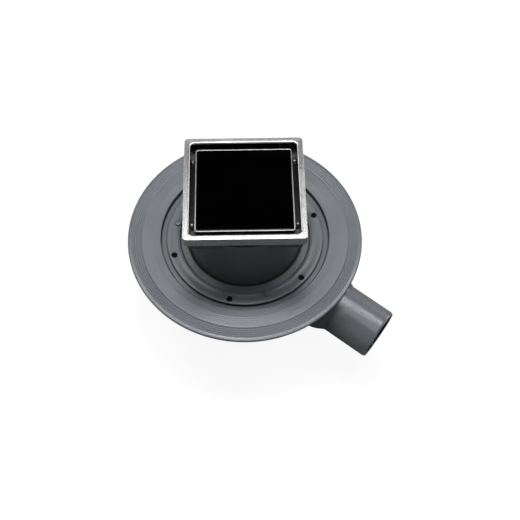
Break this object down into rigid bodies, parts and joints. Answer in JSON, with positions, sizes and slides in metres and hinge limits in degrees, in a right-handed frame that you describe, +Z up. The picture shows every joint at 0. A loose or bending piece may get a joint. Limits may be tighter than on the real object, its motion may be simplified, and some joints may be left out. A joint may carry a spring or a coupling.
{
  "type": "shower floor gully trap with side outlet",
  "caption": "Grey plastic floor gully with a ribbed membrane flange, clamp ring, height-adjustable riser, side outlet and a square steel frame with a lift-out black glass cover.",
  "frame": {"origin": "centre of the bowl's flat underside, on the axis of the riser", "axes": "+Z up along the riser; X and Y along the sides of the square frame; the outlet points between +X and -Y"},
  "size_m": [0.2568, 0.2307, 0.177],
  "materials": {
    "grey_plastic": "satin moulded, fine ribs",
    "dark_plastic": "satin moulded",
    "black_rubber": "matt",
    "stainless": "brushed",
    "stainless_bright": "plain",
    "black_screw": "blackened",
    "black_glass": "gloss, opaque black",
    "bedding": "adhesive bed"
  },
  "bodies": {
    "drain": {"trap_bowl": "grey_plastic", "flange_body": "grey_plastic", "clamp_gasket": "black_rubber", "clamp_ring": "grey_plastic", "clamp_screws": "black_screw", "lip_seal": "black_rubber", "seal_retainer": "grey_plastic", "dip_tube": "dark_plastic", "trap_oring": "black_rubber", "hair_strainer": "stainless_bright"},
    "riser": {"riser_tube": "grey_plastic"},
    "grate": {"neck_adapter": "dark_plastic", "adapter_oring": "black_rubber", "frame_gasket": "black_rubber", "steel_frame": "stainless", "frame_screws": "stainless_bright", "cover_tray": "stainless", "tray_pads": "black_rubber", "glass_bedding": "bedding", "glass_plate": "black_glass"}
  },
  "joints": [
    {"name": "riser_height", "type": "slide", "parent": "drain", "child": "riser", "axis": [0, 0, 1], "range_m": [-0.022, 0.003]},
    {"name": "frame_turn", "type": "hinge", "parent": "riser", "child": "grate", "pos_m": [0, 0, 0.15], "axis": [0, 0, 1], "continuous": true}
  ]
}
